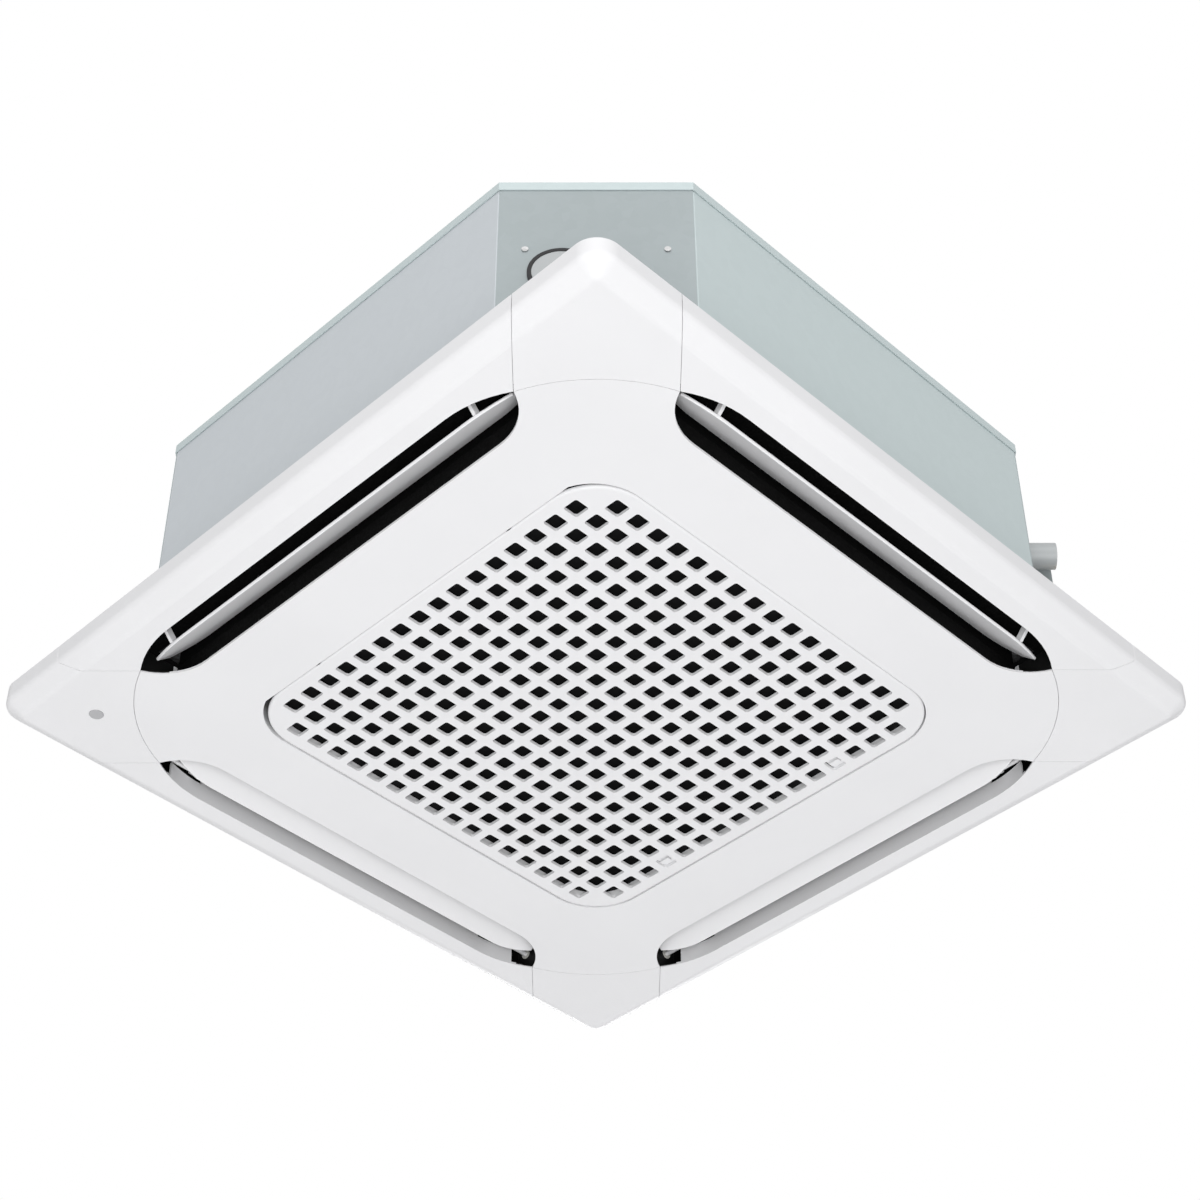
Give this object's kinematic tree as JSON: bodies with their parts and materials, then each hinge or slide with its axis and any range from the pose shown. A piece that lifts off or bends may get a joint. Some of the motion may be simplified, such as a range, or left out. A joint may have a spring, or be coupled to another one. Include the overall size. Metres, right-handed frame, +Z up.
{
  "type": "ceiling cassette air conditioner",
  "caption": "Square ceiling cassette air conditioner with a panel of four swing vanes, a hinged inlet grille and an eight-sided casing with fan, coil and drain pump.",
  "frame": {"origin": "middle of the panel in the ceiling plane, where the panel's rim meets the ceiling", "axes": "+Z up into the ceiling void, +X to the right side and +Y to the back side, where the pipe corner lies between +X and +Y"},
  "size_m": [0.95, 0.95, 0.3316],
  "materials": {
    "panel_white": "satin",
    "vane_white": "satin",
    "lens_grey": "gloss",
    "black_foam": "matt foam",
    "grey_foam": "matt foam",
    "white_foam": "matt foam",
    "grey_nylon": "satin",
    "filter_black": "matt",
    "bell_black": "satin",
    "fan_plastic": "satin",
    "pump_plastic": "satin",
    "drain_plastic": "satin",
    "terminal_plastic": "satin",
    "board_green": "satin",
    "cap_grey": "satin",
    "gasket_rubber": "matt",
    "seal_rubber": "matt foam rubber",
    "galvanised": "zinc coated",
    "bracket_steel": "zinc coated",
    "motor_steel": "plated",
    "screw_steel": "plated",
    "fin_aluminium": "bare",
    "copper": "bare copper",
    "nut_brass": "bare"
  },
  "bodies": {
    "unit": {"panel_frame": "panel_white", "corner_cover_front_left": "panel_white", "corner_cover_front_right": "panel_white", "corner_cover_back_left": "panel_white", "corner_cover_back_right": "panel_white", "receiver_lens": "lens_grey", "outlet_duct_front": "black_foam", "outlet_duct_right": "black_foam", "outlet_duct_back": "black_foam", "outlet_duct_left": "black_foam", "vane_bushes": "grey_nylon", "vane_motors": "motor_steel", "panel_screws": "screw_steel", "panel_seal": "seal_rubber", "side_plate_front": "galvanised", "side_plate_right": "galvanised", "side_plate_back": "galvanised", "side_plate_left": "galvanised", "corner_plate_front_right": "galvanised", "corner_plate_back_left": "galvanised", "corner_plate_front_left": "galvanised", "pipe_plate": "galvanised", "top_plate": "galvanised", "casing_screws": "screw_steel", "hanger_brackets": "bracket_steel", "cap_gasket": "gasket_rubber", "service_cap": "cap_grey", "cable_gland": "gasket_rubber", "foam_liner": "grey_foam", "drain_pan": "white_foam", "fin_pack": "fin_aluminium", "coil_ends": "copper", "bell_mouth": "bell_black", "fan_motor": "motor_steel", "motor_bushes": "gasket_rubber", "gas_pipe": "copper", "liquid_pipe": "copper", "flare_nuts": "nut_brass", "drain_pump": "pump_plastic", "drain_tube": "drain_plastic", "float_switch": "pump_plastic", "control_box": "galvanised", "control_cover": "galvanised", "circuit_board": "board_green", "terminal_block": "terminal_plastic"},
    "vane_front": {"vane_front": "vane_white"},
    "vane_right": {"vane_right": "vane_white"},
    "vane_back": {"vane_back": "vane_white"},
    "vane_left": {"vane_left": "vane_white"},
    "grille": {"inlet_grille": "panel_white", "grille_pins": "screw_steel", "air_filter": "filter_black"},
    "latch_left": {"latch_left": "panel_white"},
    "latch_right": {"latch_right": "panel_white"},
    "fan": {"fan_wheel": "fan_plastic", "motor_shaft": "screw_steel", "fan_nut": "nut_brass"},
    "impeller": {"pump_impeller": "pump_plastic"},
    "float": {"float_ring": "white_foam"}
  },
  "joints": [
    {"name": "vane_front_swing", "type": "hinge", "parent": "unit", "child": "vane_front", "pos_m": [0, -0.423, -0.0085], "axis": [1, 0, 0], "range_deg": [-42, 8]},
    {"name": "vane_right_swing", "type": "hinge", "parent": "unit", "child": "vane_right", "pos_m": [0.423, 0, -0.0085], "axis": [0, 1, 0], "range_deg": [-42, 8]},
    {"name": "vane_back_swing", "type": "hinge", "parent": "unit", "child": "vane_back", "pos_m": [0, 0.423, -0.0085], "axis": [-1, 0, 0], "range_deg": [-42, 8]},
    {"name": "vane_left_swing", "type": "hinge", "parent": "unit", "child": "vane_left", "pos_m": [-0.423, 0, -0.0085], "axis": [0, -1, 0], "range_deg": [-42, 8]},
    {"name": "grille_hinge", "type": "hinge", "parent": "unit", "child": "grille", "pos_m": [0, -0.271, -0.032], "axis": [-1, 0, 0], "range_deg": [0, 90]},
    {"name": "latch_left_slide", "type": "slide", "parent": "grille", "child": "latch_left", "axis": [0, 1, 0], "range_m": [0, 0.005]},
    {"name": "latch_right_slide", "type": "slide", "parent": "grille", "child": "latch_right", "axis": [0, 1, 0], "range_m": [0, 0.005]},
    {"name": "fan_spin", "type": "hinge", "parent": "unit", "child": "fan", "pos_m": [0, 0, 0.2], "axis": [0, 0, 1], "continuous": true},
    {"name": "impeller_spin", "type": "hinge", "parent": "unit", "child": "impeller", "pos_m": [0.28214, 0.27648, 0.05], "axis": [0, 0, 1], "continuous": true},
    {"name": "float_rise", "type": "slide", "parent": "unit", "child": "float", "axis": [0, 0, 1], "range_m": [0, 0.012]}
  ]
}
